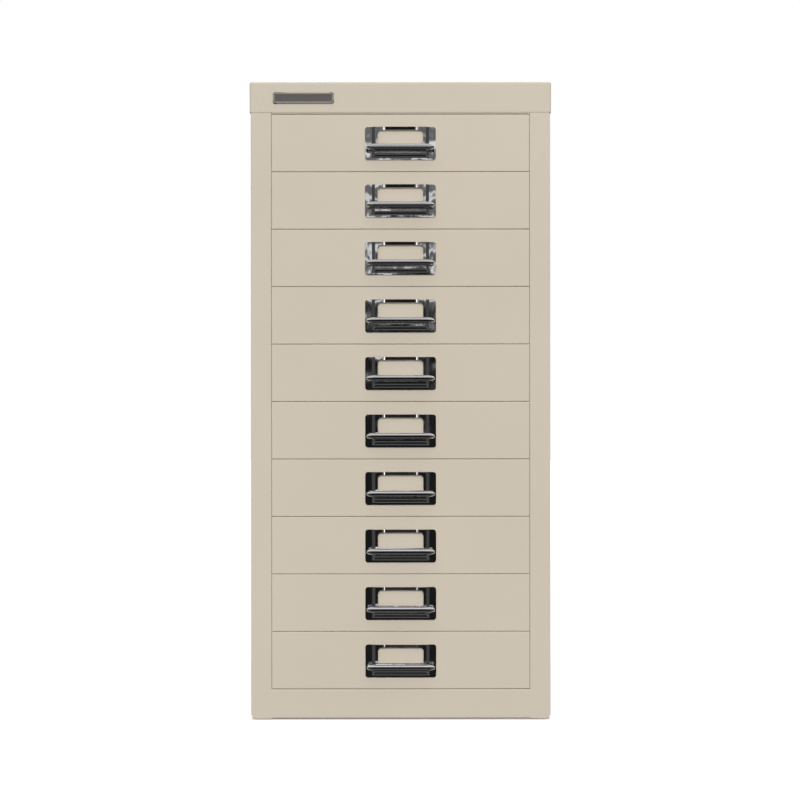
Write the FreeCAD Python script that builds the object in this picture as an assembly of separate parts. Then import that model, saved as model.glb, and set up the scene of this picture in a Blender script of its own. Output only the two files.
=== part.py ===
import FreeCAD, Part
import math
import os

from FreeCAD import Vector

# A ten-drawer desktop cabinet of folded sheet steel, with a lid-like cap and chromed pulls.
# Millimetres. X is the width, +Y runs into the cabinet, +Z is up, and the pulls face -Y.
# The origin is on the floor, in the middle of the whole cabinet with its pulls.

# Whole cabinet, measured over the cap
WIDTH = 279.0
DEPTH = 380.0
HEIGHT = 590.0
FOOT_HEIGHT = 1.2
PULL_PROUD = 13.0

# Sheet steel
SHEET = 0.8
THIN_SHEET = 0.7
BEND = 1.4
THIN_BEND = 1.0

# Cap and carcass
CAP_HEIGHT = 28.8
CAP_OVERHANG = 1.0
CAP_RADIUS = 2.0
FLANGE_WIDTH = 19.05
FLANGE_RETURN = 30.0
REAR_FLANGE = 20.0
FOOT_FLANGE = 26.5
CORNER_CLIP = 3.5
PLINTH_TOP = 28.2
PLINTH_LEDGE = 15.0
RAIL_BOTTOM = 560.3
RAIL_DEPTH = 33.0
UPRIGHT_FRONT = 150.0
UPRIGHT_DEPTH = 22.0

# Drawers
DRAWER_COUNT = 10
DRAWER_PITCH = 53.17
TOP_SEAM = 560.1
SEAM_GAP = 0.4
FRONT_WIDTH = 238.3
FRONT_DEPTH = 13.0
FRONT_BEND = 1.0
TRAY_WIDTH = 230.4
TRAY_LENGTH = 352.0
TRAY_FLOOR_LIFT = 2.0
RIM_DROP = 4.0
RIM_WIDTH = 3.1
RIM_HEIGHT = 6.0
TRAVEL = 300.0

# Tracks, which hold the rims of the trays
TRACK_LENGTH = 341.0
TRACK_REACH = 3.65
RUN_CLEARANCE_BELOW = 0.15
RUN_CLEARANCE_ABOVE = 0.25
CLOSED_GAP = 0.2
STOP_GAP = 0.3
STOP_LENGTH = 3.0
STOP_WIDTH = 1.2
STOP_HEIGHT = 2.2

# Pulls, each a pressed plate with a card frame and a finger lip
PULL_WIDTH = 65.5
PULL_HEIGHT = 30.6
PULL_CORNER = 2.5
PULL_DROP = 27.1
FRAME_WIDTH = 52.8
FRAME_HEIGHT = 28.1
FRAME_RISE = 1.6
FRAME_SLOPE = 2.8
WINDOW_WIDTH = 42.0
WINDOW_TOP_BAR = 3.4
WINDOW_CORNER = 3.2
LIP_WIDTH = 63.4
LIP_DROP = 17.1
LIP_HEIGHT = 5.5
LIP_CORNER = 7.0
LIP_EDGE = 2.3
LIP_SHEET = 0.9
TAB_OFFSET = 29.4
TAB_HEIGHT = 5.0
TAB_CLENCH = 4.2
TAB_SPREAD = 8.5
SLOT_GAP = 0.1

# Badge plate and feet
BADGE_WIDTH = 55.7
BADGE_HEIGHT = 10.0
BADGE_THICKNESS = 1.2
BADGE_CORNER = 1.0
BADGE_RIM = 1.4
BADGE_SINK = 0.5
BADGE_OFFSET = 89.5
BADGE_DROP = 15.0
FOOT_RADIUS = 6.5
FOOT_STEM = 3.0
FOOT_HEAD = 4.0
FOOT_INSET = 11.0
FOOT_FRONT = 35.0
FOOT_BACK = 17.0

# Planes and edges that follow from the sizes above
HALF_CAP = WIDTH / 2
HALF_BODY = HALF_CAP - CAP_OVERHANG
HALF_OPENING = HALF_BODY - FLANGE_WIDTH
FRONT = -(DEPTH - CAP_OVERHANG - PULL_PROUD) / 2
BACK = FRONT + DEPTH - 2 * CAP_OVERHANG
PANEL_BACK = BACK - SHEET
BODY_TOP = HEIGHT - SHEET
WALL_TOP = BODY_TOP - CAP_RADIUS
WALL_FOOT = FOOT_HEIGHT + CORNER_CLIP
FLOOR_TOP = FOOT_HEIGHT + 2 * SHEET
TRAY_FRONT = FRONT + FRONT_DEPTH
TRAY_BACK = TRAY_FRONT + TRAY_LENGTH
TRACK_FRONT = TRAY_FRONT + THIN_SHEET + CLOSED_GAP
PULL_FACE = FRONT - SHEET
FRAME_FACE = PULL_FACE - FRAME_RISE


def box(x0, x1, y0, y1, z0, z1):
    return Part.makeBox(x1 - x0, y1 - y0, z1 - z0, Vector(x0, y0, z0))


def fuse(*shapes):
    return shapes[0].multiFuse(list(shapes[1:])).removeSplitter()


def mirrored(shape):
    return shape.mirror(Vector(0, 0, 0), Vector(1, 0, 0))


def lift(shape, height):
    copy = shape.copy()
    copy.translate(Vector(0, 0, height))
    return copy


def round_edges(shape, radius, choose):
    return shape.makeFillet(radius, [edge for edge in shape.Edges if choose(edge)])


def runs_along(edge, axis):
    direction = edge.tangentAt(edge.FirstParameter)
    return abs(abs(getattr(direction, axis)) - 1) < 1e-6


# A closed outline with rounded corners, through flat (a, b) points

def rounded_face(points, radii, plane):
    def place(point):
        a, b = point
        return {"XY": Vector(a, b, 0), "XZ": Vector(a, 0, b), "YZ": Vector(0, a, b)}[plane]

    starts, ends, middles = [], [], []
    count = len(points)
    for i in range(count):
        here = place(points[i])
        back = (place(points[i - 1]) - here).normalize()
        on = (place(points[(i + 1) % count]) - here).normalize()
        half = back.getAngle(on) / 2
        cut = radii[i] / math.tan(half)
        starts.append(here + back * cut)
        ends.append(here + on * cut)
        bisector = (back + on).normalize() if radii[i] > 0 else Vector(0, 0, 0)
        middles.append(here + bisector * (radii[i] / math.sin(half) - radii[i]))
    edges = []
    for i in range(count):
        if radii[i] > 0:
            edges.append(Part.Arc(starts[i], middles[i], ends[i]).toShape())
        following = (i + 1) % count
        edges.append(Part.LineSegment(ends[i], starts[following]).toShape())
    return Part.Face(Part.Wire(edges))


# A folded sheet: its path is one face of the sheet, and the thickness lies on the path's left

def folded(path, plane, start, end, sheet=SHEET, bends=None):
    count = len(path)
    if bends is None:
        bends = [BEND] * (count - 2)
    lefts = []
    for i in range(count - 1):
        da = path[i + 1][0] - path[i][0]
        db = path[i + 1][1] - path[i][1]
        length = math.hypot(da, db)
        lefts.append((-db / length, da / length))
    offset = []
    path_radii = [0.0]
    offset_radii = [0.0]
    for i in range(count):
        before = lefts[max(i - 1, 0)]
        after = lefts[min(i, count - 2)]
        scale = sheet / (1 + before[0] * after[0] + before[1] * after[1])
        offset.append((path[i][0] + (before[0] + after[0]) * scale,
                       path[i][1] + (before[1] + after[1]) * scale))
        if 0 < i < count - 1:
            outer = bends[i - 1]
            inner = max(outer - sheet, 0.0)
            turns_left = before[0] * after[1] - before[1] * after[0] > 0
            path_radii.append(outer if turns_left else inner)
            offset_radii.append(inner if turns_left else outer)
    path_radii.append(0.0)
    offset_radii.append(0.0)
    points = path + offset[::-1]
    face = rounded_face(points, path_radii + offset_radii[::-1], plane)
    along = {"XY": Vector(0, 0, 1), "XZ": Vector(0, 1, 0), "YZ": Vector(1, 0, 0)}[plane]
    face.translate(along * start)
    return face.extrude(along * (end - start))


# Cap: a shallow lid pressed over the top of the carcass

def top_cap():
    bottom = HEIGHT - CAP_HEIGHT
    front = FRONT - CAP_OVERHANG
    outer = box(-HALF_CAP, HALF_CAP, front, front + DEPTH, bottom, HEIGHT)
    outer = round_edges(outer, CAP_RADIUS, lambda edge: edge.BoundBox.ZMax > bottom + 1)
    inner = box(-HALF_CAP + SHEET, HALF_CAP - SHEET, front + SHEET, front + DEPTH - SHEET,
                bottom - 1, BODY_TOP)
    inner = round_edges(inner, CAP_RADIUS - SHEET, lambda edge: edge.BoundBox.ZMax > bottom)
    return outer.cut(inner)


# Side panel: wall, front flange with its return, rear and top flanges, and a clipped foot flange

def left_side_panel():
    wall_path = [(-HALF_BODY + REAR_FLANGE, PANEL_BACK), (-HALF_BODY, PANEL_BACK),
                 (-HALF_BODY, FRONT), (-HALF_OPENING, FRONT)]
    return_path = wall_path + [(-HALF_OPENING, FRONT + FLANGE_RETURN)]
    beside_plinth = folded(wall_path, "XY", FOOT_HEIGHT, PLINTH_TOP)
    beside_drawers = folded(return_path, "XY", PLINTH_TOP, WALL_TOP)
    top_path = [(-HALF_OPENING, BODY_TOP), (-HALF_BODY, BODY_TOP), (-HALF_BODY, WALL_TOP - SHEET)]
    top_flange = folded(top_path, "XZ", FRONT + CAP_RADIUS, PANEL_BACK - CAP_RADIUS)
    clip = [(-HALF_BODY - 1, FOOT_HEIGHT - 1), (-HALF_BODY + CORNER_CLIP, FOOT_HEIGHT - 1),
            (-HALF_BODY + CORNER_CLIP, FOOT_HEIGHT), (-HALF_BODY, WALL_FOOT), (-HALF_BODY - 1, WALL_FOOT)]
    clip_face = rounded_face(clip, [0.0] * len(clip), "XZ")
    clip_face.translate(Vector(0, FRONT - 1, 0))
    beside_plinth = beside_plinth.cut(clip_face.extrude(Vector(0, DEPTH, 0)))
    foot_path = [(-HALF_BODY, WALL_FOOT + SHEET), (-HALF_BODY, WALL_FOOT),
                 (-HALF_BODY + CORNER_CLIP, FOOT_HEIGHT), (-HALF_OPENING, FOOT_HEIGHT)]
    foot_bends = [SHEET, SHEET]
    foot = folded(foot_path, "XZ", FRONT + SHEET, PANEL_BACK, bends=foot_bends)
    shelf = box(-HALF_OPENING, -HALF_BODY + FOOT_FLANGE, FRONT + FOOT_FRONT - FOOT_INSET, PANEL_BACK,
                FOOT_HEIGHT, FOOT_HEIGHT + SHEET)
    panel = fuse(beside_plinth, beside_drawers, top_flange, foot, shelf)
    for y in foot_rows():
        hole = Part.makeCylinder(FOOT_STEM, SHEET, Vector(-HALF_BODY + FOOT_INSET, y, FOOT_HEIGHT))
        panel = panel.cut(hole)
    return panel


def back_panel():
    edge = 1.0
    return box(-HALF_BODY + edge, HALF_BODY - edge, PANEL_BACK, BACK, FOOT_HEIGHT + edge, WALL_TOP)


# Base pan: plinth, its ledge and the floor in one folded sheet, with a wing on each side panel's foot

def base_pan():
    step_start = FRONT + FOOT_FRONT - FOOT_INSET - 3 * SHEET
    section = [(FRONT + PLINTH_LEDGE, PLINTH_TOP), (FRONT, PLINTH_TOP), (FRONT, FOOT_HEIGHT),
               (step_start, FOOT_HEIGHT), (step_start + SHEET, FOOT_HEIGHT + SHEET),
               (PANEL_BACK - SHEET, FOOT_HEIGHT + SHEET)]
    bends = [BEND, BEND, 0.0, 0.0]
    pan = folded(section, "YZ", -HALF_OPENING, HALF_OPENING, bends=bends)
    wing = box(-HALF_BODY + CORNER_CLIP + SHEET, -HALF_OPENING, FRONT + FOOT_FRONT - FOOT_INSET,
               PANEL_BACK - SHEET, FOOT_HEIGHT + SHEET, FLOOR_TOP)
    for y in foot_rows():
        hole = Part.makeCylinder(FOOT_STEM, SHEET, Vector(-HALF_BODY + FOOT_INSET, y, FOOT_HEIGHT + SHEET))
        wing = wing.cut(hole)
    return fuse(pan, wing, mirrored(wing))


# Rail behind the cap, over the top drawer

def top_front_rail():
    section = [(FRONT + RAIL_DEPTH, BODY_TOP), (FRONT, BODY_TOP), (FRONT, RAIL_BOTTOM),
               (FRONT + RAIL_DEPTH, RAIL_BOTTOM)]
    return folded(section, "YZ", -HALF_OPENING, HALF_OPENING)


# Upright that carries the back ends of the tracks

def left_rear_upright():
    wall = -HALF_BODY + SHEET
    section = [(wall, UPRIGHT_FRONT + UPRIGHT_DEPTH), (wall, UPRIGHT_FRONT), (-HALF_OPENING, UPRIGHT_FRONT),
               (-HALF_OPENING, UPRIGHT_FRONT + UPRIGHT_DEPTH)]
    return folded(section, "XY", WALL_FOOT + SHEET, RAIL_BOTTOM)


# Levels of one drawer, counted from the top, starting at 0

def seam(index):
    return TOP_SEAM - DRAWER_PITCH * index


def rim_top(index):
    return seam(index) - RIM_DROP


# Track: a C channel that holds the rim, with a pip pressed up from its ledge as the stop

def left_track(index):
    top = rim_top(index) + RUN_CLEARANCE_ABOVE + THIN_SHEET
    ledge = rim_top(index) - RIM_HEIGHT - RUN_CLEARANCE_BELOW
    reach = -HALF_OPENING + TRACK_REACH
    section = [(reach, top), (-HALF_OPENING, top), (-HALF_OPENING, ledge - THIN_SHEET),
               (reach, ledge - THIN_SHEET)]
    channel = folded(section, "XZ", TRACK_FRONT, TRACK_FRONT + TRACK_LENGTH, THIN_SHEET,
                     [THIN_BEND, THIN_BEND])
    stop_back = TRAY_BACK - THIN_SHEET - TRAVEL - STOP_GAP
    stop_right = reach - 0.2
    stop = box(stop_right - STOP_WIDTH, stop_right, stop_back - STOP_LENGTH, stop_back,
               ledge, ledge + STOP_HEIGHT)
    return fuse(channel, stop)


# Tray: floor, walls and rims in one folded sheet, with a back wall and the inner skin of the front

def drawer_tray(index):
    half = TRAY_WIDTH / 2
    floor = seam(index + 1) + SEAM_GAP / 2 + TRAY_FLOOR_LIFT
    under_rim = rim_top(index) - THIN_SHEET
    rim_bottom = rim_top(index) - RIM_HEIGHT
    rim_inside = half + RIM_WIDTH - THIN_SHEET
    section = [(-rim_inside, rim_bottom), (-rim_inside, under_rim), (-half, under_rim), (-half, floor),
               (half, floor), (half, under_rim), (rim_inside, under_rim), (rim_inside, rim_bottom)]
    trough = folded(section, "XZ", TRAY_FRONT + THIN_SHEET, TRAY_BACK, THIN_SHEET, [THIN_BEND] * 6)
    skin = box(-FRONT_WIDTH / 2, FRONT_WIDTH / 2, TRAY_FRONT, TRAY_FRONT + THIN_SHEET,
               seam(index + 1) + SEAM_GAP / 2, seam(index) - SEAM_GAP / 2)
    back_wall = box(-half + THIN_SHEET / 2, half - THIN_SHEET / 2, TRAY_BACK - THIN_SHEET, TRAY_BACK,
                    floor + THIN_SHEET / 2, under_rim - 1)
    rim_end = box(-rim_inside, -half, TRAY_BACK - THIN_SHEET, TRAY_BACK, rim_bottom + 0.5, under_rim)
    return fuse(trough, skin, back_wall, rim_end, mirrored(rim_end))


# Front: the outer skin of the drawer, a shallow pan closed behind by the tray's own skin

def drawer_front(index):
    half = FRONT_WIDTH / 2
    bottom = seam(index + 1) + SEAM_GAP / 2
    top = seam(index) - SEAM_GAP / 2
    outer = box(-half, half, FRONT, TRAY_FRONT, bottom, top)
    outer = round_edges(outer, FRONT_BEND, lambda edge: edge.BoundBox.YMax < FRONT + 1)
    inner = box(-half + SHEET, half - SHEET, FRONT + SHEET, TRAY_FRONT + 1, bottom + SHEET, top - SHEET)
    inner = round_edges(inner, FRONT_BEND - SHEET, lambda edge: edge.BoundBox.YMax < FRONT + 2 * SHEET)
    front = outer.cut(inner)
    for x, z in tab_places():
        z += pull_level(index)
        slot = box(x - SHEET / 2 - SLOT_GAP, x + SHEET / 2 + SLOT_GAP, FRONT - 1, FRONT + 2 * SHEET,
                   z - TAB_HEIGHT / 2 - SLOT_GAP, z + TAB_HEIGHT / 2 + SLOT_GAP)
        front = front.cut(slot)
    return front


def pull_level(index):
    return seam(index) - PULL_DROP


def tab_places():
    return [(side * TAB_OFFSET, level * TAB_SPREAD) for side in (-1, 1) for level in (-1, 1)]


# Finger lip: a pressed cup, open below, whose ends turn back to the plate

def finger_lip():
    def cup(inset, bottom):
        top = PULL_HEIGHT / 2 - LIP_DROP - inset
        face = FRONT - PULL_PROUD + inset
        half = LIP_WIDTH / 2 - inset
        block = box(-half, half, face, PULL_FACE, bottom, top)
        corners = round_edges(block, LIP_CORNER - inset, lambda edge: runs_along(edge, "z")
                              and edge.BoundBox.YMax < face + 1)
        return round_edges(corners, LIP_EDGE - inset, lambda edge: edge.BoundBox.ZMin > top - 0.1
                           and edge.BoundBox.YMin < PULL_FACE - 1)

    bottom = PULL_HEIGHT / 2 - LIP_DROP - LIP_HEIGHT
    return cup(0.0, bottom).cut(cup(LIP_SHEET, bottom - 1))


# Block with two sloping sides and a sloping foot, which the raised card frame is cut from

def sloped_block(face, top):
    def outline(half, foot, y):
        corners = [(-half, foot), (half, foot), (half, top), (-half, top), (-half, foot)]
        return Part.makePolygon([Vector(x, y, z) for x, z in corners])

    half = FRAME_WIDTH / 2
    foot = PULL_HEIGHT / 2 - FRAME_HEIGHT
    wide = outline(half, foot, face + FRAME_RISE)
    narrow = outline(half - FRAME_SLOPE, foot + FRAME_SLOPE, face)
    return Part.makeLoft([wide, narrow], True, True)


# Pull, at level 0: plate, raised card frame open at the top, window, finger lip and clenched tabs

def pull():
    half_height = PULL_HEIGHT / 2
    plate = box(-PULL_WIDTH / 2, PULL_WIDTH / 2, PULL_FACE, FRONT, -half_height, half_height)
    plate = round_edges(plate, PULL_CORNER, lambda edge: runs_along(edge, "y"))
    body = fuse(plate, sloped_block(FRAME_FACE, half_height), finger_lip())
    card_space = sloped_block(FRAME_FACE + SHEET, half_height + 1)
    window_top = half_height - WINDOW_TOP_BAR
    window_bottom = half_height - LIP_DROP
    half_window = WINDOW_WIDTH / 2
    outline = [(-half_window, window_bottom), (half_window, window_bottom),
               (half_window, window_top), (-half_window, window_top)]
    window = rounded_face(outline, [0.0, 0.0, WINDOW_CORNER, WINDOW_CORNER], "XZ")
    window.translate(Vector(0, FRAME_FACE - 0.01, 0))
    body = body.cut(card_space).cut(window.extrude(Vector(0, FRAME_RISE + SHEET, 0)))
    tabs = []
    for x, z in tab_places():
        outward = x + math.copysign(TAB_CLENCH, x)
        tabs.append(box(x - SHEET / 2, x + SHEET / 2, FRONT, FRONT + 2 * SHEET,
                        z - TAB_HEIGHT / 2, z + TAB_HEIGHT / 2))
        tabs.append(box(min(x, outward), max(x, outward), FRONT + SHEET, FRONT + 2 * SHEET,
                        z - TAB_HEIGHT / 2, z + TAB_HEIGHT / 2))
    return fuse(body, *tabs)


# Badge: a small blank plate with a raised rim

def badge_plate():
    def plate(inset, outer, inner, corner):
        half_width = BADGE_WIDTH / 2 - inset
        half_height = BADGE_HEIGHT / 2 - inset
        block = box(-BADGE_OFFSET - half_width, -BADGE_OFFSET + half_width, outer, inner,
                    HEIGHT - BADGE_DROP - half_height, HEIGHT - BADGE_DROP + half_height)
        return round_edges(block, corner, lambda edge: runs_along(edge, "y"))

    back = FRONT - CAP_OVERHANG
    face = back - BADGE_THICKNESS
    return plate(0.0, face, back, BADGE_CORNER).cut(plate(BADGE_RIM, face - 1, face + BADGE_SINK, 0.3))


def foot_rows():
    return [FRONT + FOOT_FRONT, BACK - FOOT_BACK]


# Rubber feet: a pad under the foot flange, a stem through both sheets and a head above them

def rubber_feet():
    feet = []
    for side in (-1, 1):
        for y in foot_rows():
            x = side * (HALF_BODY - FOOT_INSET)
            pad = Part.makeCylinder(FOOT_RADIUS, FOOT_HEIGHT, Vector(x, y, 0))
            stem = Part.makeCylinder(FOOT_STEM, FLOOR_TOP, Vector(x, y, 0))
            head = Part.makeCylinder(FOOT_HEAD, SHEET, Vector(x, y, FLOOR_TOP))
            feet.append(fuse(pad, stem, head))
    return Part.makeCompound(feet)


def write(node, shape):
    solids = shape.Solids
    if not shape.isValid():
        raise ValueError(node + " isn't valid")
    kept = Part.makeCompound(solids) if len(solids) > 1 else solids[0]
    kept.exportStep("parts/" + node + ".step")
    print(node, len(solids), "solid", round(sum(solid.Volume for solid in solids)), "mm3")


os.makedirs("parts", exist_ok=True)

write("top_cap", top_cap())
side = left_side_panel()
write("left_side_panel", side)
write("right_side_panel", mirrored(side))
write("back_panel", back_panel())
write("base_pan", base_pan())
write("top_front_rail", top_front_rail())
upright = left_rear_upright()
write("left_rear_upright", upright)
write("right_rear_upright", mirrored(upright))
write("rubber_feet", rubber_feet())
write("badge_plate", badge_plate())

pull_shape = pull()
for index in range(DRAWER_COUNT):
    number = "{:02d}".format(index + 1)
    track = left_track(index)
    write("left_track_" + number, track)
    write("right_track_" + number, mirrored(track))
    write("drawer_" + number + "_tray", drawer_tray(index))
    write("drawer_" + number + "_front", drawer_front(index))
    write("drawer_" + number + "_pull", lift(pull_shape, pull_level(index)))
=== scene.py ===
import bmesh
import bpy
import math
from mathutils import Matrix, Vector


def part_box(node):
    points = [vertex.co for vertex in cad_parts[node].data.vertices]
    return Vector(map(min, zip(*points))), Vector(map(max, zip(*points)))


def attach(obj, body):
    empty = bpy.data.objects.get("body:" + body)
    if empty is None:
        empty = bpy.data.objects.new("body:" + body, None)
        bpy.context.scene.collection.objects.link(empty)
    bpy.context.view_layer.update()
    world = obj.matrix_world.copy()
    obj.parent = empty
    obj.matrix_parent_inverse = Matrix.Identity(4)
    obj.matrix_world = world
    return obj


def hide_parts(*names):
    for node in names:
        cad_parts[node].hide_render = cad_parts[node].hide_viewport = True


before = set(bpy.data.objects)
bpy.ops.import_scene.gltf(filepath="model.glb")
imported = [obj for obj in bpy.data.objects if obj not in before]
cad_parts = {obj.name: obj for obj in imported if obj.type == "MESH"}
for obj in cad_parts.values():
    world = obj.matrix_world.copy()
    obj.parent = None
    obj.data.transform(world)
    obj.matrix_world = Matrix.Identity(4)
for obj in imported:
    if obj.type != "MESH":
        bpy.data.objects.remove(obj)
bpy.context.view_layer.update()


# Camera
# A long lens level with the middle of the cabinet, straight in front of the drawers. The picture
# is turned by a twentieth of a degree, as the photograph is.

MM = 0.001
CAMERA_DISTANCE = 1420 * MM
CAMERA_HEIGHT = 295.75 * MM
CAMERA_ASIDE = -0.55 * MM
CAMERA_ROLL = math.radians(0.05)
PICTURE_WIDTH = 740.1 * MM
SENSOR_WIDTH = 36.0
front_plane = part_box("left_side_panel")[0].y

camera_data = bpy.data.cameras.new("photo_camera")
camera_data.sensor_width = SENSOR_WIDTH
camera_data.lens = SENSOR_WIDTH * CAMERA_DISTANCE / PICTURE_WIDTH
camera = bpy.data.objects.new("photo_camera", camera_data)
bpy.context.scene.collection.objects.link(camera)
camera.location = (CAMERA_ASIDE, front_plane - CAMERA_DISTANCE, CAMERA_HEIGHT)
camera.rotation_euler = (math.radians(90), CAMERA_ROLL, 0)
bpy.context.scene.camera = camera


# Cap
# A shallow lid of 0.8 mm steel, folded on all four sides, with its corners welded and dressed
# round. It is spot-welded over the top of the body and stands a millimetre proud of it. Its front
# skirt leans in towards the lower edge.

SHEET = 0.8 * MM
CAP_RADIUS = 2.0 * MM
SKIRT_LIFT = 0.8 * MM
SKIRT_LEAN = 0.6 * MM
SLACK = 0.01 * MM
FACING = 0.99
SMOOTH_BELOW = math.radians(35)
cap_low, cap_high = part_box("top_cap")
cap_low.z += SKIRT_LIFT


def cream_paint():
    material = bpy.data.materials.new("cream_powder_coat")
    material.use_nodes = True
    nodes = material.node_tree.nodes
    links = material.node_tree.links
    shader = nodes["Principled BSDF"]
    place = nodes.new("ShaderNodeTexCoord")
    drift = nodes.new("ShaderNodeTexNoise")
    drift.inputs["Scale"].default_value = 9
    drift.inputs["Detail"].default_value = 3
    grain = nodes.new("ShaderNodeTexNoise")
    grain.inputs["Scale"].default_value = 900
    grain.inputs["Detail"].default_value = 4
    both = nodes.new("ShaderNodeMix")
    both.data_type = "FLOAT"
    both.inputs[0].default_value = 0.35
    tint = nodes.new("ShaderNodeValToRGB")
    tint.color_ramp.elements[0].position = 0.25
    tint.color_ramp.elements[0].color = (0.548, 0.486, 0.395, 1)
    tint.color_ramp.elements[1].position = 0.75
    tint.color_ramp.elements[1].color = (0.585, 0.521, 0.432, 1)
    sheen = nodes.new("ShaderNodeMapRange")
    sheen.inputs["To Min"].default_value = 0.40
    sheen.inputs["To Max"].default_value = 0.52
    peel = nodes.new("ShaderNodeTexNoise")
    peel.inputs["Scale"].default_value = 520
    peel.inputs["Detail"].default_value = 2
    bump = nodes.new("ShaderNodeBump")
    bump.inputs["Strength"].default_value = 0.12
    bump.inputs["Distance"].default_value = 0.0002
    for texture in (drift, grain, peel):
        links.new(place.outputs["Object"], texture.inputs["Vector"])
    links.new(drift.outputs["Fac"], both.inputs[2])
    links.new(grain.outputs["Fac"], both.inputs[3])
    links.new(both.outputs[0], tint.inputs["Fac"])
    links.new(tint.outputs["Color"], shader.inputs["Base Color"])
    links.new(grain.outputs["Fac"], sheen.inputs["Value"])
    links.new(sheen.outputs["Result"], shader.inputs["Roughness"])
    links.new(peel.outputs["Fac"], bump.inputs["Height"])
    links.new(bump.outputs["Normal"], shader.inputs["Normal"])
    shader.inputs["Specular IOR Level"].default_value = 0.4
    return material


def box_between(bm, low, high):
    made = bmesh.ops.create_cube(bm, size=1)["verts"]
    bmesh.ops.scale(bm, vec=high - low, verts=made)
    bmesh.ops.translate(bm, vec=(low + high) / 2, verts=made)


def round_off(bm, edges, radius, segments=5):
    bmesh.ops.bevel(bm, geom=edges, offset=radius, offset_type="OFFSET", segments=segments,
                    profile=0.5, affect="EDGES", material=-1, clamp_overlap=False)


def open_side(bm, direction):
    direction = Vector(direction)
    reach = max(vert.co.dot(direction) for vert in bm.verts)
    faces = [face for face in bm.faces if face.normal.dot(direction) > FACING
             and face.calc_center_median().dot(direction) > reach - SLACK]
    bmesh.ops.delete(bm, geom=faces, context="FACES_ONLY")


def thicken(bm, thickness):
    bm.normal_update()
    bmesh.ops.solidify(bm, geom=bm.faces[:], thickness=thickness)


def as_piece(name, bm, material):
    mesh = bpy.data.meshes.new(name)
    bm.to_mesh(mesh)
    bm.free()
    mesh.shade_smooth()
    mesh.set_sharp_from_angle(angle=SMOOTH_BELOW)
    mesh.materials.append(material)
    piece = bpy.data.objects.new(name, mesh)
    bpy.context.scene.collection.objects.link(piece)
    flats = piece.modifiers.new("true_flats", "WEIGHTED_NORMAL")
    flats.keep_sharp = True
    return piece


paint = cream_paint()
bm = bmesh.new()
box_between(bm, cap_low, cap_high)
folds = [edge for edge in bm.edges if max(vert.co.z for vert in edge.verts) > cap_high.z - MM]
round_off(bm, folds, CAP_RADIUS)
open_side(bm, (0, 0, -1))
skirt = [vert for vert in bm.verts if vert.co.z < cap_low.z + SLACK
         and vert.co.y < cap_low.y + CAP_RADIUS + SLACK]
bmesh.ops.translate(bm, vec=(0, SKIRT_LEAN, 0), verts=skirt)
thicken(bm, SHEET)
cap = as_piece("cap_shell", bm, paint)
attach(cap, "cabinet")
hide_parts("top_cap")


# Side panels
# Each is one sheet: the wall, a 19 mm front flange folded back beside the drawers, a rear flange
# under the back panel, a top flange under the cap, and a foot folded in at 45 degrees, which widens
# into a shelf under the base.

BEND = 0.9 * MM
REAR_FLANGE = 20 * MM
FLANGE_RETURN = 30 * MM
CORNER_CLIP = 3.5 * MM
FOOT_FLANGE = 26.5 * MM
FOOT_SHELF = 24 * MM
HAIR = 0.001 * MM
wall_low, wall_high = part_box("left_side_panel")
plinth_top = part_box("base_pan")[1].z
opening_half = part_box("top_front_rail")[1].x
wall_top = wall_high.z - CAP_RADIUS


# The sheet follows the path, with its thickness to the left of it.
def folded_sheet(bm, path, axis, start, end, thickness, bend):
    def place(point):
        a, b = point
        return {"X": (start, a, b), "Y": (a, start, b), "Z": (a, b, start)}[axis]

    along = {"X": Vector((1, 0, 0)), "Y": Vector((0, 1, 0)), "Z": Vector((0, 0, 1))}[axis]
    strip = bmesh.new()
    line = [strip.verts.new(place(point)) for point in path]
    edges = [strip.edges.new(pair) for pair in zip(line, line[1:])]
    pulled = bmesh.ops.extrude_edge_only(strip, edges=edges)
    ends = [item for item in pulled["geom"] if isinstance(item, bmesh.types.BMVert)]
    bmesh.ops.translate(strip, vec=along * (end - start), verts=ends)
    bends = [edge for edge in strip.edges if len(edge.link_faces) == 2]
    if bend > 0:
        round_off(strip, bends, bend)
    strip.normal_update()
    a, b = path[0], path[1]
    left = Vector(place((a[0] - b[1] + a[1], a[1] + b[0] - a[0]))) - Vector(place(a))
    strip.faces.ensure_lookup_table()
    nearest = min(strip.faces, key=lambda face: (face.calc_center_median() - Vector(place(a))).length)
    if nearest.normal.dot(left) > 0:
        bmesh.ops.reverse_faces(strip, faces=strip.faces[:])
        strip.normal_update()
    bmesh.ops.solidify(strip, geom=strip.faces[:], thickness=thickness)
    shape = bpy.data.meshes.new("folded_strip")
    strip.to_mesh(shape)
    strip.free()
    bm.from_mesh(shape)
    bpy.data.meshes.remove(shape)


def cut_along(bm, point, normal, drop=False):
    bmesh.ops.bisect_plane(bm, geom=bm.verts[:] + bm.edges[:] + bm.faces[:], dist=HAIR,
                           plane_co=point, plane_no=normal, clear_outer=drop)


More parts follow.
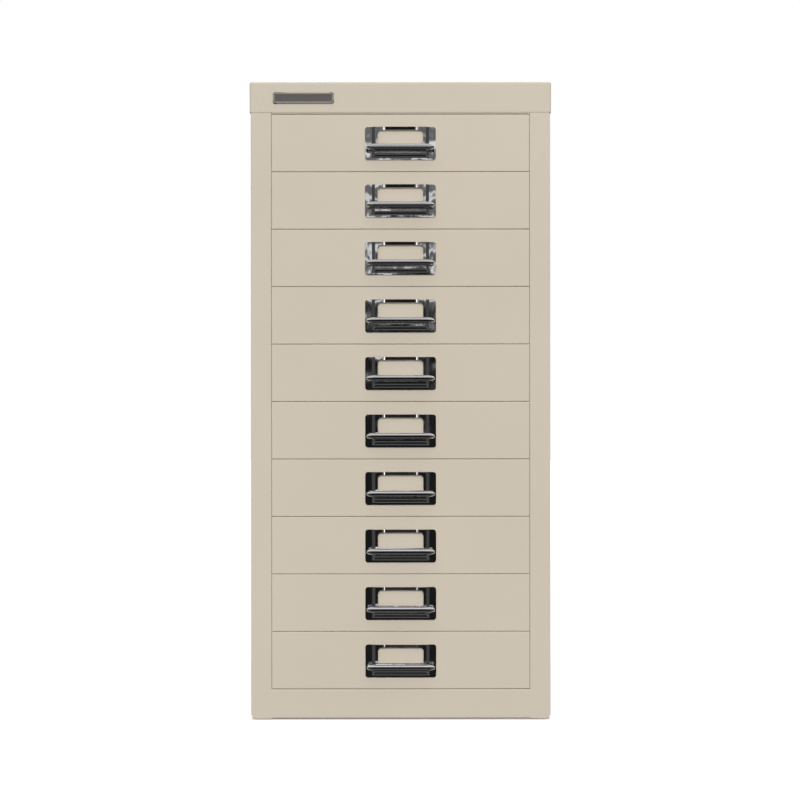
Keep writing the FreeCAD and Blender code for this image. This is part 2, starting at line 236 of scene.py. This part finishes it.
def side_panel(bm):
    wall = wall_low.x
    front, rear, foot = wall_low.y, wall_high.y, wall_low.z
    corner = [(wall + REAR_FLANGE, rear), (wall, rear), (wall, front), (-opening_half, front)]
    folded_sheet(bm, corner, "Z", foot, plinth_top, SHEET, BEND)
    cut_along(bm, (wall, 0, foot + CORNER_CLIP), (-1, 0, -1), drop=True)
    bmesh.ops.holes_fill(bm, edges=[edge for edge in bm.edges if edge.is_boundary], sides=0)
    folded_sheet(bm, corner + [(-opening_half, front + FLANGE_RETURN)], "Z", plinth_top, wall_top,
                 SHEET, BEND)
    folded_sheet(bm, [(-opening_half, wall_high.z), (wall, wall_high.z), (wall, wall_top - SHEET)], "Y",
                 front + CAP_RADIUS, rear - CAP_RADIUS, SHEET, BEND)
    folded_sheet(bm, [(wall, foot + CORNER_CLIP + SHEET), (wall, foot + CORNER_CLIP),
                      (wall + CORNER_CLIP, foot), (-opening_half, foot)], "Y",
                 front + SHEET, rear, SHEET, 0)
    box_between(bm, Vector((-opening_half, front + FOOT_SHELF, foot)),
                Vector((wall + FOOT_FLANGE, rear, foot + SHEET)))


for hand, mirror in (("left", 1), ("right", -1)):
    bm = bmesh.new()
    side_panel(bm)
    if mirror < 0:
        bmesh.ops.scale(bm, vec=(-1, 1, 1), verts=bm.verts)
        bmesh.ops.reverse_faces(bm, faces=bm.faces[:])
    side = as_piece(hand + "_side_shell", bm, paint)
    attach(side, "cabinet")
    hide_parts(hand + "_side_panel")


# Back panel
# A flat sheet that laps over the side panels' rear flanges and the base. The spot welds that hold it
# show through the paint as low round marks along its edges.

WELD_EDGE = 10 * MM
WELD_PITCH = 68 * MM
WELD_RADIUS = 2.6 * MM
WELD_CROWN = 1.82 * MM
WELD_RISE = 0.2 * MM
BACK_EDGE = 0.3 * MM
back_low, back_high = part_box("back_panel")
bm = bmesh.new()
box_between(bm, back_low, back_high)
rim = [edge for edge in bm.edges if min(vert.co.y for vert in edge.verts) > back_high.y - SLACK]
round_off(bm, rim, BACK_EDGE, 3)
rows = round((back_high.z - back_low.z - 2 * WELD_EDGE) / WELD_PITCH)
marks = [(side * (back_high.x - WELD_EDGE), back_low.z + WELD_EDGE + step * WELD_PITCH)
         for side in (-1, 1) for step in range(rows)]
marks += [(column * WELD_PITCH, back_low.z + WELD_EDGE) for column in (-1, 0, 1)]
for x, z in marks:
    weld = bmesh.ops.create_cone(bm, cap_ends=True, segments=24, radius1=WELD_RADIUS,
                                 radius2=WELD_CROWN, depth=2 * WELD_RISE)["verts"]
    bmesh.ops.rotate(bm, cent=(0, 0, 0), matrix=Matrix.Rotation(math.radians(-90), 3, "X"), verts=weld)
    bmesh.ops.translate(bm, vec=(x, back_high.y, z), verts=weld)
back = as_piece("back_sheet", bm, paint)
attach(back, "cabinet")
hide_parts("back_panel")


# Base pan and top rail
# Two folded sheets that close the carcass below and behind the cap. The base is folded up at the
# front into the plinth under the drawers.

def finish_node(node, material):
    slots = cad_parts[node].data.materials
    slots.clear()
    slots.append(material)


for node in ("base_pan", "top_front_rail"):
    finish_node(node, paint)


# Rear uprights and tracks
# Zinc-plated strips. Ten C channels on each side are welded to the returns of the front flanges
# and to the upright at the back, and each has a pip pressed up as the drawer's stop.

DRAWERS = ["drawer_{:02d}".format(number) for number in range(1, 11)]


def zinc_plate():
    material = bpy.data.materials.new("zinc_plated_steel")
    material.use_nodes = True
    nodes = material.node_tree.nodes
    links = material.node_tree.links
    shader = nodes["Principled BSDF"]
    place = nodes.new("ShaderNodeTexCoord")
    spangle = nodes.new("ShaderNodeTexVoronoi")
    spangle.inputs["Scale"].default_value = 260
    tone = nodes.new("ShaderNodeValToRGB")
    tone.color_ramp.elements[0].color = (0.42, 0.43, 0.45, 1)
    tone.color_ramp.elements[1].color = (0.62, 0.63, 0.65, 1)
    rough = nodes.new("ShaderNodeMapRange")
    rough.inputs["To Min"].default_value = 0.32
    rough.inputs["To Max"].default_value = 0.5
    links.new(place.outputs["Object"], spangle.inputs["Vector"])
    links.new(spangle.outputs["Color"], tone.inputs["Fac"])
    links.new(tone.outputs["Color"], shader.inputs["Base Color"])
    links.new(spangle.outputs["Distance"], rough.inputs["Value"])
    links.new(rough.outputs["Result"], shader.inputs["Roughness"])
    shader.inputs["Metallic"].default_value = 1
    return material


zinc = zinc_plate()
for hand in ("left", "right"):
    strips = [hand + "_rear_upright"]
    strips += [hand + "_track_" + drawer[-2:] for drawer in DRAWERS]
    for node in strips:
        finish_node(node, zinc)


# Feet
# Four black rubber buttons, each pushed up by its stem through a foot flange and the base pan
# until its head snaps open inside.

def black_rubber():
    material = bpy.data.materials.new("black_rubber")
    material.use_nodes = True
    nodes = material.node_tree.nodes
    links = material.node_tree.links
    shader = nodes["Principled BSDF"]
    place = nodes.new("ShaderNodeTexCoord")
    bloom = nodes.new("ShaderNodeTexNoise")
    bloom.inputs["Scale"].default_value = 300
    tone = nodes.new("ShaderNodeValToRGB")
    tone.color_ramp.elements[0].color = (0.018, 0.018, 0.018, 1)
    tone.color_ramp.elements[1].color = (0.045, 0.044, 0.042, 1)
    links.new(place.outputs["Object"], bloom.inputs["Vector"])
    links.new(bloom.outputs["Fac"], tone.inputs["Fac"])
    links.new(tone.outputs["Color"], shader.inputs["Base Color"])
    shader.inputs["Roughness"].default_value = 0.75
    return material


finish_node("rubber_feet", black_rubber())


# Drawer fronts
# Shallow pans of 0.8 mm steel with all four edges folded back 13 mm. The tray's own front wall
# closes each from behind, so the front is a flat hollow box. Only thin seams are left round it.

FRONT_BEND = 0.9 * MM
SIDE_EASE = 0.2 * MM
SEAM_EASE = 0.07 * MM

for drawer in DRAWERS:
    low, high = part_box(drawer + "_front")
    low -= Vector((SIDE_EASE, 0, SEAM_EASE))
    high += Vector((SIDE_EASE, 0, SEAM_EASE))
    bm = bmesh.new()
    box_between(bm, low, high)
    folds = [edge for edge in bm.edges if max(vert.co.y for vert in edge.verts) < low.y + MM]
    round_off(bm, folds, FRONT_BEND)
    open_side(bm, (0, 1, 0))
    thicken(bm, SHEET)
    front = as_piece(drawer + "_front_pan", bm, paint)
    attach(front, drawer)
    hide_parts(drawer + "_front")


# Drawer trays
# Each is folded from 0.7 mm steel: floor and walls with a rim rolled over outside along both
# edges, a back wall whose ears are welded inside the side walls, and the inner skin of the front.

THIN_SHEET = 0.7 * MM
THIN_BEND = 1.0 * MM
TRAY_HALF = 115.2 * MM
RIM_HEIGHT = 6 * MM
RIM_WIDTH = 3.1 * MM
FRONT_LAP = 2 * MM
BACK_EAR = 12 * MM
TRACK_PLAY = 0.25 * MM

for drawer in DRAWERS:
    low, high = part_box(drawer + "_tray")
    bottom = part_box(drawer + "_front")[0].z + FRONT_LAP
    rim_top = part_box("left_track_" + drawer[-2:])[1].z - THIN_SHEET - TRACK_PLAY
    rim_low = rim_top - RIM_HEIGHT
    under = rim_top - THIN_SHEET
    rim_half = TRAY_HALF + RIM_WIDTH - THIN_SHEET
    ear_half = TRAY_HALF - THIN_SHEET
    section = [(-rim_half, rim_low), (-rim_half, under), (-TRAY_HALF, under), (-TRAY_HALF, bottom),
               (TRAY_HALF, bottom), (TRAY_HALF, under), (rim_half, under), (rim_half, rim_low)]
    back_wall = [(ear_half, high.y - BACK_EAR), (ear_half, high.y),
                 (-ear_half, high.y), (-ear_half, high.y - BACK_EAR)]
    bm = bmesh.new()
    folded_sheet(bm, section, "Y", low.y + THIN_SHEET, high.y, THIN_SHEET, THIN_BEND)
    folded_sheet(bm, back_wall, "Z", bottom + THIN_SHEET, under - MM, THIN_SHEET, THIN_BEND)
    box_between(bm, low, Vector((high.x, low.y + THIN_SHEET, high.z)))
    tray = as_piece(drawer + "_tray_shell", bm, paint)
    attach(tray, drawer)
    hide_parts(drawer + "_tray")


# Pulls
# Each is pressed from one blank of 0.8 mm steel, bright chromed and clenched to the drawer front:
# a plate with a raised frame that holds a card, two dimples in the frame's top bar, and below the
# window a finger lip that is open underneath.

PULL_WIDTH = 65.5 * MM
PULL_HEIGHT = 30.6 * MM
PULL_CORNER = 2.5 * MM
FOLD_OUT = 26.4 * MM
FOLD_IN = 23.6 * MM
FOLD_STEP = FOLD_OUT - FOLD_IN
FOLD_RADIUS = 0.7 * MM
FRAME_HEIGHT = 28.1 * MM
FRAME_RISE = 1.6 * MM
WINDOW_HALF = 21 * MM
WINDOW_TOP_BAR = 3.0 * MM
WINDOW_CORNER = 3.2 * MM
WINDOW_FACETS = (11.25, 33.75, 56.25, 78.75)
LIP_HALF = 31.3 * MM
LIP_DROP = 17.1 * MM
LIP_HEIGHT = 5.8 * MM
LIP_CORNER = 2.8 * MM
LIP_SWEEP = 8.5 * MM
LIP_TAPER = 0.42
LIP_LEAN = 0.06
LIP_EDGE = 2.3 * MM
LIP_ROLL = 2.0 * MM
LIP_CURL = math.radians(53)
FLARE = 0.35 * MM
FLARE_HALF = 13.4 * MM
DIP = 1.5 * MM
DIP_AT = 15 * MM
DIP_END = 16.6 * MM
EDGE_BREAK = 0.15 * MM
CREASE = math.radians(15)
SHARP_EDGE = math.radians(75)
plate_face = front_plane - SHEET
lip_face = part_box("drawer_01_pull")[0].y


def bright_chrome():
    material = bpy.data.materials.new("bright_chrome")
    material.use_nodes = True
    nodes = material.node_tree.nodes
    links = material.node_tree.links
    shader = nodes["Principled BSDF"]
    place = nodes.new("ShaderNodeTexCoord")
    haze = nodes.new("ShaderNodeTexNoise")
    haze.inputs["Scale"].default_value = 160
    haze.inputs["Detail"].default_value = 3
    rough = nodes.new("ShaderNodeMapRange")
    rough.inputs["To Min"].default_value = 0.03
    rough.inputs["To Max"].default_value = 0.10
    tone = nodes.new("ShaderNodeValToRGB")
    tone.color_ramp.elements[0].color = (0.74, 0.74, 0.76, 1)
    tone.color_ramp.elements[1].color = (0.82, 0.82, 0.83, 1)
    parts = nodes.new("ShaderNodeSeparateXYZ")
    half = nodes.new("ShaderNodeMath")
    half.operation = "ABSOLUTE"
    whole = nodes.new("ShaderNodeCombineXYZ")
    slant = nodes.new("ShaderNodeMapping")
    slant.inputs["Rotation"].default_value = (0, math.radians(-24), 0)
    slant.inputs["Scale"].default_value = (1, 1, 0.3)
    waves = nodes.new("ShaderNodeTexNoise")
    waves.inputs["Scale"].default_value = 230
    waves.inputs["Detail"].default_value = 1
    swell = nodes.new("ShaderNodeTexNoise")
    swell.inputs["Scale"].default_value = 55
    swell.inputs["Detail"].default_value = 0
    press = nodes.new("ShaderNodeMath")
    press.operation = "MULTIPLY_ADD"
    press.inputs[1].default_value = 0.35
    drawn = nodes.new("ShaderNodeMapRange")
    drawn.inputs["From Min"].default_value = plate_face - 3 * MM
    drawn.inputs["From Max"].default_value = plate_face - 2 * MM
    drawn.inputs["To Min"].default_value = 0.12
    bump = nodes.new("ShaderNodeBump")
    bump.inputs["Distance"].default_value = 0.0006
    links.new(place.outputs["Object"], haze.inputs["Vector"])
    links.new(haze.outputs["Fac"], rough.inputs["Value"])
    links.new(rough.outputs["Result"], shader.inputs["Roughness"])
    links.new(haze.outputs["Fac"], tone.inputs["Fac"])
    links.new(tone.outputs["Color"], shader.inputs["Base Color"])
    links.new(place.outputs["Object"], parts.inputs["Vector"])
    links.new(parts.outputs["X"], half.inputs[0])
    links.new(half.outputs["Value"], whole.inputs["X"])
    links.new(parts.outputs["Y"], whole.inputs["Y"])
    links.new(parts.outputs["Z"], whole.inputs["Z"])
    links.new(whole.outputs["Vector"], slant.inputs["Vector"])
    links.new(slant.outputs["Vector"], waves.inputs["Vector"])
    links.new(place.outputs["Object"], swell.inputs["Vector"])
    links.new(waves.outputs["Fac"], press.inputs[0])
    links.new(swell.outputs["Fac"], press.inputs[2])
    links.new(press.outputs["Value"], bump.inputs["Height"])
    links.new(parts.outputs["Y"], drawn.inputs["Value"])
    links.new(drawn.outputs["Result"], bump.inputs["Strength"])
    links.new(bump.outputs["Normal"], shader.inputs["Normal"])
    shader.inputs["Metallic"].default_value = 1
    return material


def edges_over(bm, angle):
    return [edge for edge in bm.edges if len(edge.link_faces) == 2 and edge.calc_face_angle() > angle]


def pull_plate(bm, face):
    top = PULL_HEIGHT / 2
    fold_low = top - FRAME_HEIGHT
    window_top = top - WINDOW_TOP_BAR
    window_low = top - LIP_DROP
    bmesh.ops.create_grid(bm, x_segments=1, y_segments=1, size=0.5)
    bmesh.ops.scale(bm, vec=(PULL_WIDTH, PULL_HEIGHT, 1), verts=bm.verts)
    bmesh.ops.rotate(bm, cent=(0, 0, 0), matrix=Matrix.Rotation(math.radians(90), 3, "X"), verts=bm.verts)
    bmesh.ops.translate(bm, vec=(0, face, 0), verts=bm.verts)
    bmesh.ops.bevel(bm, geom=bm.verts[:], offset=PULL_CORNER, offset_type="OFFSET", segments=6,
                    profile=0.5, affect="VERTICES", material=-1)
    for x in (FOLD_OUT, FOLD_IN, WINDOW_HALF, DIP_END, DIP_AT, FLARE_HALF):
        cut_along(bm, (x, 0, 0), (1, 0, 0))
        cut_along(bm, (-x, 0, 0), (1, 0, 0))
    for z in (fold_low, fold_low + FOLD_STEP, window_top, window_low):
        cut_along(bm, (0, 0, z), (0, 0, 1))

    def within(half, low, high):
        return [part for part in bm.faces if abs(part.calc_center_median().x) < half
                and low < part.calc_center_median().z < high]

    def cut_only(faces, point, normal):
        cut = {item for part in faces for item in [part] + list(part.edges) + list(part.verts)}
        bmesh.ops.bisect_plane(bm, geom=list(cut), dist=HAIR, plane_co=point, plane_no=normal)

    limits = []
    for hand in (-1, 1):
        centre = Vector((hand * (WINDOW_HALF - WINDOW_CORNER), face, window_top - WINDOW_CORNER))
        for turn in WINDOW_FACETS:
            normal = Vector((hand * math.cos(math.radians(turn)), 0, math.sin(math.radians(turn))))
            limits.append((centre + normal * WINDOW_CORNER, normal))
            cut_only(within(WINDOW_HALF, window_low, window_top), *limits[-1])
        corner = Vector((hand * FOLD_OUT, face, fold_low))
        meeting = [part for part in bm.faces if FOLD_IN < hand * part.calc_center_median().x < FOLD_OUT
                   and fold_low < part.calc_center_median().z < fold_low + FOLD_STEP]
        cut_only(meeting, corner, Vector((1, 0, hand)))
    opening = [part for part in within(WINDOW_HALF, window_low, window_top)
               if all((part.calc_center_median() - point).dot(normal) < 0 for point, normal in limits)]
    bmesh.ops.delete(bm, geom=opening, context="FACES")

    def inside(vert, half, low):
        return abs(vert.co.x) < half + SLACK and vert.co.z > low - SLACK

    raised = [vert for vert in bm.verts if inside(vert, FOLD_IN, fold_low + FOLD_STEP)]
    bmesh.ops.translate(bm, vec=(0, -FRAME_RISE, 0), verts=raised)
    flared = [vert for vert in bm.verts if inside(vert, FLARE_HALF, top)]
    bmesh.ops.translate(bm, vec=(0, -FLARE, 0), verts=flared)
    dipped = [vert for vert in bm.verts if inside(vert, DIP_AT, top) and not inside(vert, DIP_AT - MM, top)]
    bmesh.ops.translate(bm, vec=(0, DIP, 0), verts=dipped)
    bm.normal_update()
    round_off(bm, edges_over(bm, CREASE), FOLD_RADIUS, 4)
    bmesh.ops.dissolve_degenerate(bm, dist=HAIR, edges=bm.edges)
    thicken(bm, SHEET)
    bm.normal_update()
    round_off(bm, edges_over(bm, SHARP_EDGE), EDGE_BREAK, 2)


def finger_lip(bm, face, reach):
    top = PULL_HEIGHT / 2 - LIP_DROP
    low = top - LIP_HEIGHT
    cup = bmesh.new()
    straight = LIP_HALF - LIP_SWEEP
    half = straight + LIP_CORNER
    box_between(cup, Vector((-half, reach, low)), Vector((half, face, top)))
    corners = [edge for edge in cup.edges if max(vert.co.y for vert in edge.verts) < face - MM
               and abs(edge.verts[0].co.z - edge.verts[1].co.z) > MM]
    round_off(cup, corners, LIP_CORNER, 8)
    for vert in cup.verts:
        past = max(abs(vert.co.x) - straight, 0)
        vert.co.x += math.copysign(past * (LIP_SWEEP / LIP_CORNER - 1), vert.co.x)
    for level, radius in ((top, LIP_EDGE), (low, LIP_ROLL)):
        rim = [edge for edge in cup.edges if max(abs(vert.co.z - level) for vert in edge.verts) < SLACK
               and min(vert.co.y for vert in edge.verts) < face - MM]
        round_off(cup, rim, radius)
    cup.normal_update()
    open_side(cup, (0, 1, 0))
    under = [part for part in cup.faces if part.normal.z < -math.sin(LIP_CURL)]
    bmesh.ops.delete(cup, geom=under, context="FACES")
    thicken(cup, SHEET)
    for vert in cup.verts:
        past = max(abs(vert.co.x) - straight, 0) / LIP_SWEEP
        vert.co.z -= (vert.co.z - (top + low) / 2) * LIP_TAPER * past * past
        vert.co.y += (top - vert.co.z) * LIP_LEAN * (face - vert.co.y) / (face - reach)
    shape = bpy.data.meshes.new("lip_cup")
    cup.to_mesh(shape)
    cup.free()
    bm.from_mesh(shape)
    bpy.data.meshes.remove(shape)


chrome = bright_chrome()
bm = bmesh.new()
pull_plate(bm, plate_face)
finger_lip(bm, plate_face, lip_face)
pressed = bpy.data.meshes.new("pressed_pull")
bm.to_mesh(pressed)
bm.free()
for drawer in DRAWERS:
    low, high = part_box(drawer + "_pull")
    bm = bmesh.new()
    bm.from_mesh(pressed)
    bmesh.ops.translate(bm, vec=(0, 0, (low.z + high.z) / 2), verts=bm.verts)
    bmesh.ops.recalc_face_normals(bm, faces=bm.faces)
    pull = as_piece(drawer + "_chrome_pull", bm, chrome)
    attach(pull, drawer)
    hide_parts(drawer + "_pull")
bpy.data.meshes.remove(pressed)


# Badge
# A small blank plate, moulded in plastic and stuck to the cap at the upper left. Its satin grey rim
# stands a little proud of a darker field.

BADGE_RIM = 1.4 * MM
RIM_SLOPE = 0.15 * MM
BADGE_SINK = 0.5 * MM
BADGE_CORNER = 0.8 * MM
BADGE_LEFT = 0.3 * MM
BADGE_RIGHT = 0.1 * MM
BADGE_TRIM = 0.25 * MM
BADGE_THIN = 0.3 * MM
FIELD_EASE = 0.1 * MM


def moulded(name, dark, light, roughness):
    material = bpy.data.materials.new(name)
    material.use_nodes = True
    nodes = material.node_tree.nodes
    links = material.node_tree.links
    shader = nodes["Principled BSDF"]
    place = nodes.new("ShaderNodeTexCoord")
    fleck = nodes.new("ShaderNodeTexNoise")
    fleck.inputs["Scale"].default_value = 1400
    tone = nodes.new("ShaderNodeValToRGB")
    tone.color_ramp.elements[0].color = dark
    tone.color_ramp.elements[1].color = light
    links.new(place.outputs["Object"], fleck.inputs["Vector"])
    links.new(fleck.outputs["Fac"], tone.inputs["Fac"])
    links.new(tone.outputs["Color"], shader.inputs["Base Color"])
    shader.inputs["Roughness"].default_value = roughness
    return material


badge_low, badge_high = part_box("badge_plate")
badge_low += Vector((-BADGE_LEFT, BADGE_THIN, BADGE_TRIM))
badge_high += Vector((-BADGE_RIGHT, SKIRT_LEAN, -BADGE_TRIM))
satin_grey = moulded("satin_grey_badge", (0.215, 0.197, 0.183, 1), (0.250, 0.230, 0.215, 1), 0.4)
dark_grey = moulded("dark_badge_field", (0.085, 0.080, 0.076, 1), (0.105, 0.100, 0.095, 1), 0.45)
bm = bmesh.new()
box_between(bm, badge_low, badge_high)
corners = [edge for edge in bm.edges if abs(edge.verts[0].co.y - edge.verts[1].co.y) > BADGE_SINK]
round_off(bm, corners, BADGE_CORNER, 4)
bm.normal_update()
outside = [face for face in bm.faces if face.normal.y < -FACING]
bmesh.ops.inset_region(bm, faces=outside, thickness=BADGE_RIM, use_even_offset=True)
bmesh.ops.inset_region(bm, faces=outside, thickness=RIM_SLOPE, use_even_offset=True)
sunk = list({vert for face in outside for vert in face.verts})
bmesh.ops.translate(bm, vec=(0, BADGE_SINK, 0), verts=sunk)
badge = as_piece("badge_rim", bm, satin_grey)
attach(badge, "cabinet")
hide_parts("badge_plate")

inset = BADGE_RIM + FIELD_EASE
field_face = badge_low.y + BADGE_SINK
bm = bmesh.new()
box_between(bm, Vector((badge_low.x + inset, field_face - FIELD_EASE / 2, badge_low.z + inset)),
            Vector((badge_high.x - inset, field_face + 2 * FIELD_EASE, badge_high.z - inset)))
field = as_piece("badge_field", bm, dark_grey)
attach(field, "cabinet")


# Floor
# A pale studio sweep on which the cabinet stands. It glows a little to pass for plain white, but
# not under the cabinet, where the feet leave a dark gap.

FLOOR_HALF = 6
FLOOR_GLOW = 0.34

bm = bmesh.new()
bmesh.ops.create_grid(bm, x_segments=1, y_segments=1, size=FLOOR_HALF)
pale = bpy.data.materials.new("studio_floor")
pale.use_nodes = True
nodes = pale.node_tree.nodes
links = pale.node_tree.links
shader = nodes["Principled BSDF"]
shader.inputs["Base Color"].default_value = (0.93, 0.93, 0.93, 1)
shader.inputs["Specular IOR Level"].default_value = 0
shader.inputs["Emission Color"].default_value = (1, 1, 1, 1)
place = nodes.new("ShaderNodeTexCoord")
centred = nodes.new("ShaderNodeMapping")
centred.inputs["Location"].default_value = (0, -(wall_low.y + wall_high.y) / (wall_high.y - wall_low.y), 0)
centred.inputs["Scale"].default_value = (-1 / wall_low.x, 2 / (wall_high.y - wall_low.y), 1)
spread = nodes.new("ShaderNodeVectorMath")
spread.operation = "ABSOLUTE"
sides = nodes.new("ShaderNodeSeparateXYZ")
furthest = nodes.new("ShaderNodeMath")
furthest.operation = "MAXIMUM"
open_floor = nodes.new("ShaderNodeMapRange")
open_floor.inputs["From Min"].default_value = 1.0
open_floor.inputs["From Max"].default_value = 1.002
open_floor.inputs["To Max"].default_value = FLOOR_GLOW
links.new(place.outputs["Object"], centred.inputs["Vector"])
links.new(centred.outputs["Vector"], spread.inputs[0])
links.new(spread.outputs["Vector"], sides.inputs["Vector"])
links.new(sides.outputs["X"], furthest.inputs[0])
links.new(sides.outputs["Y"], furthest.inputs[1])
links.new(furthest.outputs["Value"], open_floor.inputs["Value"])
links.new(open_floor.outputs["Result"], shader.inputs["Emission Strength"])
floor = as_piece("studio_floor", bm, pale)
floor.visible_glossy = False
floor.visible_diffuse = False


# Light
# One wide soft box overhead and even daylight from above the camera, over a pale room. The camera
# sees the room as plain white. The chrome sees it dark, with a bright box above the camera, window
# bars behind it and faintly lit side walls.

BOX_PLACE = Vector((0, -1.1, 2.1))
BOX_TARGET = Vector((0, -0.1, 0.3))
DAYLIGHT_COURSE = Vector((0, 1, -0.51))
# Each pair is an angle in degrees above the level and how bright the chrome sees the room there.
ROOM_GREYS = ((-90, 0.05), (-60, 0.02), (-46, 0.015), (-38, 0.16), (-28, 0.16), (-21, 0.03), (-9, 0.011),
              (2, 0.011), (30, 0.015), (36, 1.8), (45, 1.8), (52, 0.3), (90, 0.3))
WINDOW_GREYS = ((0, 0.0), (2, 0.02), (3.2, 0.1), (4.4, 0.14), (5, 0.9), (5.8, 0.9), (6.4, 0.12),
                (10.4, 0.13), (11.2, 0.9), (12.4, 0.9), (13.6, 0.2), (21, 0.15), (30, 0.0))
WINDOW_INNER = math.cos(math.radians(22))
WINDOW_OUTER = math.cos(math.radians(38))
WALL_NEAR = math.sin(math.radians(18))
WALL_FAR = math.sin(math.radians(42))
WALL_GREY = 0.055
FILL_AHEAD = 0.34

soft_box = bpy.data.lights.new("overhead_soft_box", "AREA")
soft_box.shape = "RECTANGLE"
soft_box.size = 1.8
soft_box.size_y = 0.7
soft_box.energy = 5
daylight = bpy.data.lights.new("room_light", "SUN")
daylight.energy = 2.53
daylight.angle = math.radians(28)
for lamp, place, course in ((soft_box, BOX_PLACE, BOX_TARGET - BOX_PLACE),
                            (daylight, Vector((0, 0, 0)), DAYLIGHT_COURSE)):
    stand = bpy.data.objects.new(lamp.name, lamp)
    bpy.context.scene.collection.objects.link(stand)
    stand.location = place
    stand.rotation_euler = course.to_track_quat("-Z", "Y").to_euler()
    stand.visible_glossy = False

world = bpy.data.worlds.new("studio")
world.use_nodes = True
bpy.context.scene.world = world
air = world.node_tree.nodes
wires = world.node_tree.links


def fade(source, start, end, at_start, at_end):
    change = air.new("ShaderNodeMapRange")
    change.inputs["From Min"].default_value = start
    change.inputs["From Max"].default_value = end
    change.inputs["To Min"].default_value = at_start
    change.inputs["To Max"].default_value = at_end
    wires.new(source, change.inputs["Value"])
    return change.outputs["Result"]


def grey_by_rise(height, greys):
    ramp = air.new("ShaderNodeValToRGB")
    stops = ramp.color_ramp.elements
    for index, (rise, grey) in enumerate(greys):
        level = (1 + math.sin(math.radians(rise))) / 2
        stop = stops[index] if index < 2 else stops.new(level)
        stop.position = level
        stop.color = (grey, grey, grey, 1)
    wires.new(height, ramp.inputs["Fac"])
    return ramp.outputs["Color"]


def add_light(first, second):
    total = air.new("ShaderNodeMix")
    total.data_type = "RGBA"
    total.blend_type = "ADD"
    total.inputs[0].default_value = 1
    wires.new(first, total.inputs[6])
    wires.new(second, total.inputs[7])
    return total


def pick(switch, otherwise, chosen):
    mix = air.new("ShaderNodeMixShader")
    wires.new(switch, mix.inputs["Fac"])
    wires.new(otherwise, mix.inputs[1])
    wires.new(chosen, mix.inputs[2])
    return mix.outputs["Shader"]


way = air.new("ShaderNodeTexCoord")
parts = air.new("ShaderNodeSeparateXYZ")
wires.new(way.outputs["Generated"], parts.inputs["Vector"])
height = fade(parts.outputs["Z"], -1, 1, 0, 1)
across = air.new("ShaderNodeMath")
across.operation = "ABSOLUTE"
wires.new(parts.outputs["X"], across.inputs[0])

seen = add_light(grey_by_rise(height, ROOM_GREYS), grey_by_rise(height, WINDOW_GREYS))
wires.new(fade(parts.outputs["Y"], -WINDOW_INNER, -WINDOW_OUTER, 1, 0), seen.inputs[0])
lifted = add_light(seen.outputs[2], fade(across.outputs["Value"], WALL_NEAR, WALL_FAR, 0, WALL_GREY))
room = air.new("ShaderNodeBackground")
wires.new(lifted.outputs[2], room.inputs["Color"])

fill = air["Background"]
wires.new(fade(parts.outputs["Y"], 0, 0.5, FILL_AHEAD, 1), fill.inputs["Color"])
backdrop = air.new("ShaderNodeBackground")
backdrop.inputs["Color"].default_value = (1, 1, 1, 1)
ray = air.new("ShaderNodeLightPath")
glossy = pick(ray.outputs["Is Glossy Ray"], fill.outputs["Background"], room.outputs["Background"])
choose = pick(ray.outputs["Is Camera Ray"], glossy, backdrop.outputs["Background"])
wires.new(choose, air["World Output"].inputs["Surface"])
bpy.context.scene.view_settings.view_transform = "Standard"
